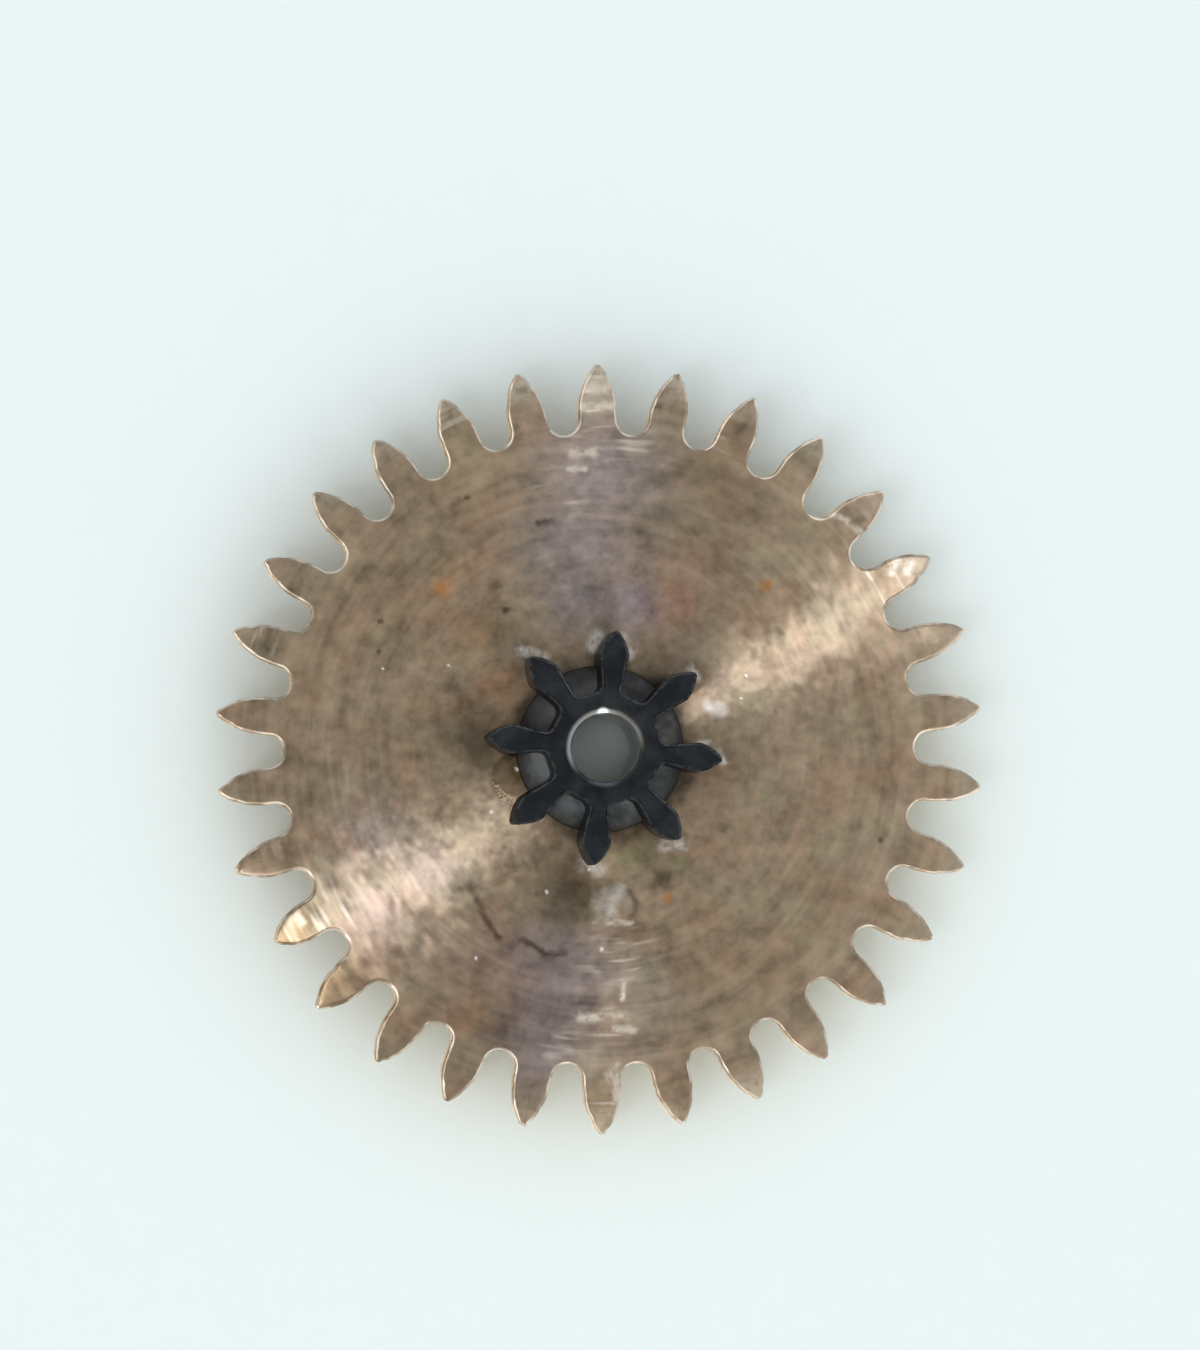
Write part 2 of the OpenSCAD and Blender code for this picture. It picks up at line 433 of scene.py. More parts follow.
class Surface(Finish):
    """The finish of one piece. Its places are in millimetres on Object coordinates."""

    def __init__(self, name, constants):
        self.material = bpy.data.materials.new(name)
        self.material.use_nodes = True
        super().__init__(self.material.node_tree)
        self.shader = self.tree.nodes["Principled BSDF"]
        for socket, value in constants.items():
            self.shader.inputs[socket].default_value = value
        place = self.node("ShaderNodeTexCoord", {}, {}, "Object")
        self.place = self.vector("MULTIPLY", place, (1 / MM, 1 / MM, 1 / MM))
        self.flat = self.vector("MULTIPLY", self.place, (1, 1, 0))
        self.radius = self.vector("LENGTH", self.flat, output="Value")
        self.around = self.vector("NORMALIZE", self.flat)
        self.height = self.node("ShaderNodeSeparateXYZ", {}, {0: self.place}, 2)
        self.wear = self.node("ShaderNodeAttribute", {"attribute_name": "wear"}, {}, "Fac")

    def wandering(self, place, scale, detail, width):
        """A place moved about by coloured noise, over this width in all."""
        moves = self.noise(place, scale, detail, output="Color")
        start = self.vector("SUBTRACT", place, (width / 2, width / 2, 0))
        return self.vector("MULTIPLY_ADD", moves, (width, width, 0), start)

    def turning(self, along, across, seed, detail, rough=0.5):
        """Noise drawn out along the rings that turning leaves. Its place is the direction from
        the axis times along, beside the radius times across plus seed, so that a mark is about
        1/along radians long and 1/across millimetres wide."""
        rise = self.node("ShaderNodeCombineXYZ", {}, {2: self.radius * across + seed})
        place = self.vector("MULTIPLY_ADD", self.around, (along, along, 0), rise)
        return self.noise(place, 1.0, detail, rough)

    def spot(self, place, x, y, size, edge=0.7):
        """1 at a place in millimetres, falling to 0 at size from it, over the share edge."""
        distance = self.vector("DISTANCE", place, (x, y, 0), output="Value")
        return self.smooth(distance, size, size * (1 - edge))

    def spots(self, place, marks):
        """The largest of several soft spots, each given by its place and size."""
        return self.whichever([self.spot(place, x, y, size, 1.0) for x, y, size in marks])

    def scratch(self, place, start, end, width):
        """1 along a straight line from start to end, falling to 0 at width beside it: the
        distance from the line's nearest point, which lies at the share of the way where the
        way from start, projected on the line and held between 0 and 1, falls."""
        line = np.subtract(end, start)
        offset = self.vector("SUBTRACT", place, (*start, 0))
        along = self.towards(offset, (*(line / (line @ line)), 0))
        held = self.math("MINIMUM", self.math("MAXIMUM", along, 0.0), 1.0)
        foot = self.node("ShaderNodeCombineXYZ", {}, {0: held * line[0], 1: held * line[1]})
        return self.smooth(self.vector("DISTANCE", offset, foot, output="Value"), width, 0.0)

    def crescent(self, place, x, y, radius, width, facing):
        """1 along part of a circle, falling to 0 at width beside it and round the circle from
        the side that faces this way."""
        offset = self.vector("SUBTRACT", place, (x, y, 0))
        beside = abs(self.vector("LENGTH", offset, output="Value") - radius)
        ahead = self.towards(offset, facing)
        return self.smooth(beside, width, 0.0) * self.smooth(ahead, 0.0, 0.7 * radius)


brass = Surface("aged_brass", {"Metallic": 1.0, "Anisotropic": 1.0, "Anisotropic Rotation": 0.25})

# Two places that wander a little from the true one, so that marks have ragged edges.
ragged = brass.wandering(brass.flat, 22.0, 2.0, 0.05)
stray = brass.wandering(brass.flat, 5.0, 3.0, 0.3)

# Tarnish in patches: rust-red and olive over the yellow-brown of the metal.
YELLOW_BROWN = (0.298, 0.226, 0.150)
RUST = (0.289, 0.203, 0.130)
OLIVE = (0.274, 0.219, 0.140)
SHEEN_VIOLET = (0.266, 0.218, 0.202)
patches = brass.noise(stray, 1.6, 3.0)
mottle = brass.noise(brass.vector("ADD", stray, (7, 3, 0)), 2.4, 3.0)
colour = brass.blend(brass.smooth(patches, 0.42, 0.62, 0.0, 1.0), YELLOW_BROWN, RUST)
colour = brass.blend(brass.smooth(mottle, 0.45, 0.65, 0.0, 0.8), colour, OLIVE)

# Painted sheen: violet patches at the top and bottom of the face stand for a cool lamp's
# reflection.
VIOLET_SHEEN = ((0.02, 2.1, 0.85), (-0.15, 1.55, 0.8), (-0.15, 1.2, 0.55), (0.22, 1.1, 0.4),
                (-0.32, -1.65, 0.6), (-0.45, -2.25, 0.6), (-0.35, -1.95, 0.5))
painted_sheen = brass.spots(stray, VIOLET_SHEEN)
colour = brass.blend(painted_sheen, colour, SHEEN_VIOLET)

# Reddish, orange and greenish stains.
RUST_RED = (0.33, 0.16, 0.075)
REDDISH = ((-0.924, 0.92, 0.3), (-0.8, 0.51, 0.25), (0.64, 1.1, 0.3), (-1.0, -2.02, 0.3),
           (-1.1, 1.35, 0.25))
rust = brass.spots(stray, REDDISH)
colour = brass.blend(0.35 * rust, colour, RUST_RED)
ORANGE_RUST = (0.37, 0.16, 0.045)
ORANGE = ((-1.2, 1.23, 0.12), (1.278, 1.232, 0.08), (0.504, -1.13, 0.07))
orange = brass.spots(ragged, ORANGE)
colour = brass.blend(0.85 * orange, colour, ORANGE_RUST)
VERDIGRIS = (0.22, 0.232, 0.115)
GREENISH = ((0.306, -0.773, 0.2), (0.579, -0.857, 0.14), (1.263, -0.333, 0.07),
            (0.19, -0.78, 0.14))
green = brass.spots(stray, GREENISH)
colour = brass.blend(0.5 * green, colour, VERDIGRIS)

# Places where the tarnish is greyer or more purple than round them.
GREY_TINT = (0.93, 0.99, 1.25)
GREYER = ((-1.72, -0.6, 0.55), (-1.68, -1.25, 0.45), (-1.3, -0.9, 0.4), (0.25, -1.82, 0.6),
          (0.2, -2.25, 0.45))
grey = brass.spots(stray, GREYER)
colour = brass.tinted(0.6 * grey, colour, GREY_TINT)
PURPLE_TINT = (1.04, 0.94, 1.05)
PURPLE = ((-0.86, -1.68, 0.7), (0.56, 1.16, 0.55))
purple = brass.spots(stray, PURPLE)
colour = brass.tinted(0.8 * purple, colour, PURPLE_TINT)

# Light and dark: smudges from handling, blotches, the broad and narrow rings that turning left,
# a fine mottle that is strongest round the pinion, lighter and darker places, and a slow
# rise towards the right.
smudge = brass.noise(brass.flat, 2.3, 4.0, 0.6)
blotch = brass.noise(brass.vector("ADD", brass.flat, (3, 9, 0)), 7.0, 2.0, 0.55)
broad_rings = brass.turning(2.0, 7.0, 5.0, 2.0, 0.6)
narrow_rings = brass.turning(2.5, 22.0, 11.0, 1.0, 0.5)
mottled = brass.noise(brass.vector("ADD", brass.flat, (1, 4, 0)), 12.0, 2.0, 0.55)
ringed = brass.smooth(brass.radius, 0.9, 1.8, 0.3, 1.0)
DARKER = ((-0.339, -1.525, 0.38), (0.572, -2.133, 0.35), (-0.757, -2.133, 0.35),
          (0.914, 0.45, 0.25), (0.0, -1.15, 0.35), (-0.05, -1.55, 0.5), (-0.25, -1.9, 0.45),
          (-0.62, -0.72, 0.40), (-0.95, 0.35, 0.3), (-1.1, -1.0, 0.3))
# Most lighter places are painted light: they brighten the pinion's shadow above it and the bright
# bands at the top, the bottom and the upper right.
LIGHTER = ((-0.112, 2.348, 0.3), (0.16, -1.75, 0.3), (-0.9, 2.1, 0.4), (0.2, 0.98, 0.3),
           (-0.25, 2.05, 0.35), (1.0, 0.75, 0.35), (1.8, 1.4, 0.4), (0.078, 1.0, 0.3),
           (0.18, -2.0, 0.22), (1.3, 1.45, 0.6), (1.6, 1.75, 0.5))
lighter_and_darker = brass.spots(stray, LIGHTER) - brass.spots(stray, DARKER)
rightward = brass.towards(brass.flat, (0.030, -0.006, 0))
shade = (1.0 + rightward + 0.84 * (smudge - 0.5) + 1.1 * (blotch - 0.5) + 0.24 * lighter_and_darker
         + ringed * (0.84 * (broad_rings - 0.5) + 0.36 * (narrow_rings - 0.5))
         + brass.smooth(brass.radius, 2.0, 1.1, 0.24, 0.72) * (mottled - 0.5))
colour = brass.times(colour, shade)

# Grime and painted shade round the pinion's foot, dark patches in a few places, and some old oil
# on the left of the pinion.
GRIME_AND_SHADE = (0.055, 0.038, 0.022)
CRUST = (0.018, 0.015, 0.010)
OIL = (0.13, 0.09, 0.04)
OIL_EDGE = (0.055, 0.028, 0.012)
DARK_PATCHES = ((-0.95, 0.03, 0.36), (-0.22, -1.1, 0.4), (0.45, -1.0, 0.15))
DARK_SPECKS = ((-0.712, 1.057, 0.04), (-1.661, 0.981, 0.035), (-1.676, 0.746, 0.03),
               (-1.0, 1.915, 0.03), (2.136, -0.705, 0.035))
dark_patches = brass.whichever([brass.spots(stray, DARK_PATCHES)]
                       + [brass.spot(ragged, *speck) for speck in DARK_SPECKS])
# Painted shade: the face darkens towards the pinion's foot, where the pinion stands on it.
foot = brass.smooth(brass.radius, 0.95, 0.62)
colour = brass.blend(brass.math("MAXIMUM", 0.5 * dark_patches, 0.25 * foot), colour, GRIME_AND_SHADE)
crust = brass.smooth(brass.vector("LENGTH", stray, output="Value"), 0.78, 0.62)
colour = brass.blend(0.75 * crust, colour, CRUST)
OIL_DROP = (-0.62, -0.22)
oil = brass.spot(ragged, *OIL_DROP, 0.21, 0.3)
oil_rim = brass.spot(ragged, *OIL_DROP, 0.24, 0.3) - oil
colour = brass.blend(0.45 * oil, colour, OIL)
colour = brass.blend(0.7 * oil_rim, colour, OIL_EDGE)

# Three scratches, and a crescent where something small was pressed into the face.
SCRATCH_DIRT = (0.06, 0.038, 0.025)
SCRATCH_WIDTH = 0.046
SCRATCHES = (((-0.947, -1.13), (-0.863, -1.312)), ((-0.863, -1.312), (-0.78, -1.43)),
             ((-0.613, -1.442), (-0.514, -1.487)), ((-0.514, -1.487), (-0.431, -1.555)),
             ((-0.431, -1.555), (-0.279, -1.548)), ((-0.46, 1.72), (-0.36, 1.735)))
scratched = brass.whichever([brass.scratch(ragged, *ends, SCRATCH_WIDTH) for ends in SCRATCHES]
                            + [brass.crescent(ragged, 0.13, -1.19, 0.13, 0.035, (1.0, 0.15, 0))])
scratched = scratched * brass.smooth(blotch, 0.35, 0.6, 0.45, 0.8)
colour = brass.blend(scratched, colour, SCRATCH_DIRT)

# Grains of dust, smears, and pale marks round the leaves' tips. The smear at the right of the
# pinion, where the bright band at the upper right begins, is a painted highlight.
PALE_DUST_AND_HIGHLIGHT = (0.85, 0.80, 0.72)
DUST = ((-1.145, 0.64, 0.02), (-1.653, 0.617, 0.018), (1.119, 0.556, 0.018),
        (1.081, 0.374, 0.016), (-0.833, -0.469, 0.022), (-0.408, -1.084, 0.022),
        (-0.955, -1.586, 0.024), (-0.089, -0.91, 0.025), (0.0, -1.517, 0.032),
        (-0.636, -0.15, 0.026), (0.16, -1.86, 0.02), (0.16, -1.89, 0.02))
SMEARS = ((0.88, 0.32, 0.14), (0.10, -1.16, 0.16), (0.06, -1.25, 0.12))
PALE_TIP_MARKS = (((-0.06, 0.78), (-0.01, 0.88), 0.08), ((0.16, 0.85), (0.24, 0.72), 0.07),
          ((-0.60, 0.76), (-0.42, 0.70), 0.07), ((0.70, 0.61), (0.75, 0.54), 0.05),
          ((0.48, -0.74), (0.62, -0.73), 0.08), ((-0.12, -0.86), (-0.02, -0.91), 0.10),
          ((0.92, -0.02), (0.94, -0.10), 0.05), ((0.75, 0.05), (0.83, 0.04), 0.04))
pale_tip_marks = [brass.scratch(ragged, *tip_mark) for tip_mark in PALE_TIP_MARKS]
patchy = brass.smooth(mottled, 0.35, 0.6, 0.3, 1.0)
dust_and_highlight = brass.whichever([0.9 * brass.spots(ragged, DUST), 0.4 * brass.spots(stray, SMEARS),
                        0.55 * patchy * brass.whichever(pale_tip_marks)])
colour = brass.blend(dust_and_highlight, colour, PALE_DUST_AND_HIGHLIGHT)

# Painted highlights, as bare bright brass: dashes along the rings, mostly in the bright bands at
# the top and bottom and from the upper right to the lower left, and a few longer streaks given one
# by one, two of them on the fold of a tooth at the upper right.
highlight_dashes = brass.smooth(brass.turning(5.0, 15.0, 23.0, 1.0, 0.5), 0.54, 0.70)
GLINT_PLACES = ((-0.10, 2.30, 0.40), (-0.25, 2.0, 0.35), (0.25, 2.35, 0.30),
                  (0.0, 2.65, 0.25), (0.12, -2.05, 0.42), (0.15, -1.6, 0.40),
                  (-0.35, -2.2, 0.3), (0.05, -2.65, 0.25), (2.2, 1.3, 0.5), (-2.2, -1.3, 0.5),
                  (-2.6, 0.9, 0.3), (-2.2, 1.7, 0.4), (-1.2, 2.5, 0.4), (0.9, 2.5, 0.3))
glint_places = brass.spots(stray, GLINT_PLACES)
HIGHLIGHT_STREAKS = (((0.05, -1.31), (0.22, -1.32), 0.04), ((-0.20, 2.245), (-0.03, 2.26), 0.06),
           ((-0.22, 2.13), (-0.10, 2.13), 0.04), ((-0.11, 2.735), (0.10, 2.735), 0.06),
           ((-0.11, 2.60), (0.12, 2.61), 0.06), ((-0.16, -2.04), (0.2, -2.025), 0.06),
           ((0.10, -2.12), (0.24, -2.13), 0.05), ((0.05, -2.47), (0.09, -2.54), 0.06),
           ((1.77, 1.78), (1.89, 1.735), 0.04), ((1.89, 1.735), (1.99, 1.635), 0.04),
           ((2.27, 1.41), (2.23, 1.34), 0.06), ((2.38, 1.40), (2.35, 1.34), 0.06),
           ((-2.28, -1.30), (-2.33, -1.22), 0.06), ((-2.49, -1.40), (-2.52, -1.34), 0.06),
           ((0.17, -1.78), (0.155, -1.90), 0.035), ((0.12, -2.42), (0.11, -2.66), 0.06))
highlight_streaks = brass.whichever([brass.scratch(ragged, *streak) for streak in HIGHLIGHT_STREAKS])
HIGHLIGHT_BRASS = (0.77, 0.69, 0.56)
painted_highlight = brass.math("MAXIMUM", 0.6 * highlight_streaks * brass.smooth(mottled, 0.3, 0.55, 0.3, 1.0),
                  0.5 * glint_places * highlight_dashes)
colour = brass.blend(painted_highlight, colour, HIGHLIGHT_BRASS)

# The teeth's points are paler, partly rubbed and partly painted highlight, most of all at the top
# and least on the left. The top tooth has painted highlights along its rings, and two teeth at the
# lower left are golden.
RUBBED_AND_LIT_BRASS = (0.60, 0.52, 0.40)
BRIGHT_POINTS = ((0.0, 2.68, 0.36), (0.57, 2.62, 0.3), (-0.55, 2.62, 0.26), (1.15, -2.6, 0.4))
bright_points = brass.spots(stray, BRIGHT_POINTS)
points = brass.smooth(brass.radius, 2.62, 2.86) * brass.smooth(mottled, 0.3, 0.6, 0.4, 1.0)
leftward = brass.towards(brass.around, (-0.94, -0.34, 0))
upward = brass.towards(brass.around, (0, 1, 0))
points = points * (0.22 + 0.65 * bright_points + brass.smooth(leftward, 0.3, 0.9, 0.0, -0.2)
                   + brass.smooth(upward, 0.2, 0.9, 0.0, 0.14))
colour = brass.blend(points, colour, RUBBED_AND_LIT_BRASS)
top_tooth = brass.spot(ragged, 0.0, 2.66, 0.30, 1.0)
top_tooth_highlight = top_tooth * brass.smooth(highlight_dashes, 0.0, 0.6, 0.25, 0.9)
colour = brass.blend(top_tooth_highlight, colour, HIGHLIGHT_BRASS)
GOLDEN_TINT = (0.86, 0.78, 0.64)
GOLDEN = ((-2.42, -1.42, 0.55), (-2.08, -1.8, 0.45))
colour = brass.tinted(brass.spots(stray, GOLDEN), colour, GOLDEN_TINT)

# Some teeth have dark marks: stains, and painted shade along the bent side of a tooth at the
# lower left and at the fold of a tooth at the upper right. The edges are rubbed bright, and the
# cut flanks and the underside are yellower than the face, with tarnish in patches.
STAIN_AND_SHADE = (0.105, 0.09, 0.055)
EDGE_BRASS = (0.80, 0.71, 0.58)
CUT_BRASS = (1.0, 0.70, 0.40)
CUT_TARNISH = (0.42, 0.31, 0.20)
DARK_MARKS = (((-2.483, -1.348), (-2.247, -1.072), 0.07), ((1.07, 2.41), (1.12, 2.46), 0.05),
              ((0.43, 2.60), (0.47, 2.61), 0.04), ((1.95, 1.72), (2.02, 1.74), 0.05),
              ((2.46, 1.14), (2.43, 1.19), 0.04), ((2.50, -0.66), (2.53, -0.68), 0.05),
              ((-0.70, 2.43), (-0.62, 2.45), 0.05), ((-0.6, 2.72), (-0.56, 2.73), 0.05))
stains_and_shade = brass.whichever([0.5 * brass.scratch(ragged, *mark) for mark in DARK_MARKS])
colour = brass.blend(stains_and_shade, colour, STAIN_AND_SHADE)
rubbing = brass.noise(brass.place, 7.0, 2.0)
rim = brass.smooth(brass.wear, 0.1, 0.8) * brass.smooth(rubbing, 0.38, 0.62, 0.1, 0.9)
colour = brass.blend(rim, colour, EDGE_BRASS)
flank = brass.smooth(brass.height, wheel_top - HOLE_TOP, wheel_top - WALL_TOP)
cut = brass.blend(brass.smooth(rubbing, 0.4, 0.65, 0.0, 0.6), CUT_BRASS, CUT_TARNISH)
colour = brass.blend(0.9 * flank, colour, brass.times(cut, shade))

brass.feed(brass.shader.inputs["Base Color"], colour)
brass.feed(brass.shader.inputs["Metallic"], 1 - 0.7 * dust_and_highlight)
inner = brass.smooth(brass.radius, 2.0, 0.8)
roughness = (0.25 + 0.035 * brass.smooth(broad_rings, 0.35, 0.65)
             + 0.05 * brass.smooth(blotch, 0.45, 0.75) + 0.06 * inner + 0.15 * dark_patches
             + 0.1 * brass.wear)
brass.feed(brass.shader.inputs["Roughness"], roughness)

# The turned rings as relief, with shallow dents and the drop of oil on them.
rings_deep = brass.turning(12.0, 26.0, 0.0, 1.0, 0.5)
rings_wide = brass.turning(8.0, 10.0, 7.0, 1.0, 0.5)
dents = brass.noise(brass.flat, 2.6, 1.0)
depth = ((0.0004 * rings_deep + 0.0036 * rings_wide) * (1 - 0.6 * inner) + 0.0015 * dents
         + 0.003 * oil)
bump = brass.node("ShaderNodeBump", {}, {"Strength": 1.0, "Distance": MM, "Height": depth})
brass.feed(brass.shader.inputs["Normal"], bump)

wheel = solid_of_rings("brass_wheel", wheel_rings, wheel_wear, brass.material)
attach(wheel, "root")
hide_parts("wheel")


# The pinion. Steel, turned, cut with 8 leaves, hardened and darkened. Below the leaves it is
# turned down to the seat for the wheel, whose lower edge is spread over as the rivet, and to
# the hub that runs on the main plate. It is bored through for the post.
LEAVES = 8
FIRST_LEAF = math.radians(84)

# The leaves' sizes, in modules: their height above the pitch circle and depth below it, half
# their thickness there, the radius of the two arcs of the point, half the flat that these would
# leave, and the radius of the fillet at the foot.
LEAF_ADDENDUM = 0.93
LEAF_DEDENDUM = 1.64
LEAF_HALF = 0.625
LEAF_ARC = 1.9
LEAF_HALF_LAND = 0.06
LEAF_FILLET = 0.4

pinion_top = (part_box("pinion")[1] / MM).z
pinion_pitch_r = mounts["pinion_mesh"]["dims"]["r_mm"]
bore_r = mounts["post_bore"]["dims"]["r_mm"]
leaf_tip_r = pinion_pitch_r + LEAF_ADDENDUM * module
leaf_root_r = pinion_pitch_r - LEAF_DEDENDUM * module
leaf_half = LEAF_HALF * module
leaf_arc_r = LEAF_ARC * module
leaf_fillet_r = LEAF_FILLET * module

# The collar between the leaves: radius, and height above the wheel.
COLLAR = ((0.50, 0.088), (0.56, 0.080), (0.59, 0.055), (0.615, 0.030), (0.63, 0.008))
HUB_R = 0.52
HUB_CHAMFER = 0.012
MOUTH_WIDTH = 0.045

# The lip round the pinion's end: its width, its height, and the width of its round corner.
LIP_WIDTH = 0.02
LIP_HEIGHT = 0.004
LIP_CORNER = 0.006


def pinion_leaf():
    """Half a leaf along +X: the root's arc, the fillet, the radial flank with a point at each
    radius of the collar, and the pointed tip. It returns the points and how far round the bore
    each is fanned, so that no two lines from the bore to the outline cross."""
    half_angle = math.asin(leaf_half / pinion_pitch_r)
    fillet_centre_r = leaf_root_r + leaf_fillet_r
    fillet_angle = half_angle + math.asin(leaf_fillet_r / fillet_centre_r)
    fillet_centre = fillet_centre_r * np.array([math.cos(fillet_angle), -math.sin(fillet_angle)])
    root = arc((0, 0), leaf_root_r, -math.pi / LEAVES, -fillet_angle, 4)[:-1]
    fillet = arc(fillet_centre, leaf_fillet_r, math.pi - fillet_angle, math.pi / 2 - half_angle, 8)
    flank_end = pinion_pitch_r * np.array([math.cos(half_angle), -math.sin(half_angle)])
    flank_r = np.array([r for r, unused in COLLAR] + [0.5 * (SEAT_R + pinion_pitch_r)])
    flank = flank_r[:, None] * flank_end / pinion_pitch_r
    land_edge = np.array([leaf_tip_r, -LEAF_HALF_LAND * module])
    chord = land_edge - flank_end
    chord_angle = math.atan2(chord[1], chord[0])
    half_turn = math.asin(math.hypot(*chord) / 2 / leaf_arc_r)
    to_centre = chord_angle + math.pi / 2 - half_turn
    centre = flank_end + leaf_arc_r * np.array([math.cos(to_centre), math.sin(to_centre)])
    start = chord_angle - math.pi / 2 - half_turn
    tip = pointed_tip(centre, leaf_arc_r, start, leaf_tip_r, 10, 3)
    points = np.concatenate([root, fillet, flank, tip])
    straight = len(root) + len(fillet)
    fan = np.arctan2(points[:, 1], points[:, 0])
    way = np.cumsum(np.linalg.norm(np.diff(points[straight - 1:], axis=0), axis=1))
    fan[straight:] = -half_angle * (1 - way / way[-1])
    return points, fan


leaf_points, leaf_fan = pinion_leaf()
leaf = whole_tooth(leaf_points)
fan = np.concatenate([leaf_fan, -leaf_fan[-2:0:-1]])
leaf_angle = FIRST_LEAF + 2 * math.pi / LEAVES * np.arange(LEAVES)[:, None]
leaves = np.repeat(leaf[None], LEAVES, axis=0)
leaf_outline = turned(leaves, leaf_angle).reshape(-1, 2)
leaf_normal = outward(leaf_outline)
fan_angle = (fan[None] + leaf_angle).reshape(-1)
fan_ring = np.stack([np.cos(fan_angle), np.sin(fan_angle)], axis=1)
leaf_room = room_inside(leaf, turned(leaf_normal.reshape(LEAVES, -1, 2), -leaf_angle))
leaf_radius = np.linalg.norm(leaf_outline, axis=1, keepdims=True)
round_ring = leaf_outline / leaf_radius

# The cutter leaves a raised lip along the edge of the pinion's end: rings from the flat up to
# the lip, and round its corner.
mouth_r = bore_r + MOUTH_WIDTH
lip_rings = []
for inset, below in ((LIP_WIDTH + LIP_CORNER, LIP_HEIGHT), (LIP_WIDTH, LIP_HEIGHT),
                     (0.5 * LIP_WIDTH, 0.5 * LIP_HEIGHT), (LIP_CORNER, 0.0), (0.003, 0.0005),
                     (0.001, 0.003), (0, 0.007)):
    held = np.minimum(inset, 0.8 * inset / (LIP_WIDTH + LIP_CORNER) * leaf_room)
    lip_rings.append(ring(leaf_outline - leaf_normal * held[:, None], pinion_top - below))
end_rings = []
mouth_edge = fan_ring * mouth_r
for share in np.linspace(0, 1, 5)[:-1]:
    plan = mouth_edge + share * (lip_rings[0][:, :2] - mouth_edge)
    end_rings.append(ring(plan, pinion_top - LIP_HEIGHT))
wall_heights = np.linspace(pinion_top - 0.04, wheel_top + 0.09, 7)
leaf_wall_rings = [ring(leaf_outline, z) for z in wall_heights]
collar_rings = []
for collar_r, above in COLLAR:
    collar_rings.append(ring(round_ring * np.maximum(leaf_radius, collar_r), wheel_top + above))
collar_rings.append(ring(round_ring * np.maximum(leaf_radius, SEAT_R), wheel_top))

# Below the leaves the pinion is turned: radius and height along the seat, the rivet, the hub,
# its chamfers and the bore.
lathe = ((SEAT_R, wheel_top), (SEAT_R, wheel_bottom + RIVET_DEPTH + 0.01),
         (HOLE_R, wheel_bottom + RIVET_DEPTH), (RIVET_R, wheel_bottom), (0.66, wheel_bottom),
         (0.62, wheel_bottom + 0.02), (0.58, wheel_bottom + 0.004), (HUB_R, wheel_bottom),
         (HUB_R, HUB_CHAMFER), (HUB_R - HUB_CHAMFER, 0), (mouth_r, 0), (bore_r, MOUTH_WIDTH),
         (bore_r, 0.3), (bore_r, 0.6), (bore_r, 0.9), (bore_r, 1.15), (bore_r, pinion_top - 0.034))
lathe_rings = [ring(round_ring * r, z) for r, z in lathe]
mouth_rings = []
for across, below in ((0.002, 0.028), (0.006, 0.024), (0.038, 0.009)):
    mouth_rings.append(ring(fan_ring * (bore_r + across), pinion_top - below))

# All rings from the bore's mouth out, down and back up the bore, and how worn each of them is.
pinion_rings = end_rings + lip_rings + leaf_wall_rings + collar_rings + lathe_rings + mouth_rings
pinion_wear = ([0] * len(end_rings) + [0, 0.3, 1, 1, 1, 0.8, 0.5] + [0] * 7
               + [0] * 6 + [0] * len(lathe) + [1, 1, 1])

# The skin of the steel is black with greyer clouds, and worn through along the edges.
BLACK_OXIDE = (0.002, 0.003, 0.005)
GREY_OXIDE = (0.014, 0.017, 0.018)
WORN_STEEL = (0.06, 0.064, 0.064)
steel = Surface("darkened_steel", {"Specular IOR Level": 0.15})
cloud = steel.noise(steel.place, 4.0, 3.0, 0.6)
specks = steel.noise(steel.place, 30.0, 2.0)
colour = steel.blend(steel.smooth(cloud, 0.35, 0.65), BLACK_OXIDE, GREY_OXIDE)

# The collar between the leaves: greyer and lighter below the bore, as painted light from the
# lamps on that side, paler at the right, brown at its edge, paler towards the leaves' roots as
# painted light in their shade, and a painted highlight at the left.
SHADED_COLLAR = (0.105, 0.098, 0.094)
LIT_COLLAR = (0.105, 0.115, 0.115)
COLLAR_RIGHT = (0.17, 0.15, 0.125)
COLLAR_EDGE = (0.06, 0.057, 0.052)
COLLAR_HIGHLIGHT = (0.36, 0.40, 0.40)
in_gap = (steel.smooth(steel.height, wheel_top + 0.12, wheel_top + 0.10)
          * steel.smooth(steel.radius, SEAT_R + 0.02, SEAT_R + 0.01))
lit_lower_side = steel.smooth(steel.towards(steel.around, (0.3, -0.95, 0)), -0.6, 0.8)
rough_edge = steel.wandering(steel.flat, 14.0, 2.0, 0.14)
collar = steel.blend(lit_lower_side, SHADED_COLLAR, LIT_COLLAR)
collar = steel.blend(steel.spot(rough_edge, 0.56, 0.16, 0.28, 1.0), collar, COLLAR_RIGHT)
from_axis = steel.vector("LENGTH", rough_edge, output="Value")
collar = steel.blend(steel.smooth(from_axis, 0.54, 0.62), collar, COLLAR_EDGE)
collar = steel.times(collar, steel.smooth(steel.radius, 0.56, 0.45, 1.0, 2.5))
colour = steel.blend(in_gap * steel.smooth(cloud, 0.35, 0.6, 0.5, 1.0), colour, collar)
collar_highlight = steel.scratch(rough_edge, (-0.50, -0.03), (-0.45, -0.17), 0.10)
colour = steel.blend(0.45 * collar_highlight * in_gap, colour, COLLAR_HIGHLIGHT)
colour = steel.blend(steel.wear * steel.smooth(specks, 0.35, 0.6, 0.2, 0.8), colour, WORN_STEEL)

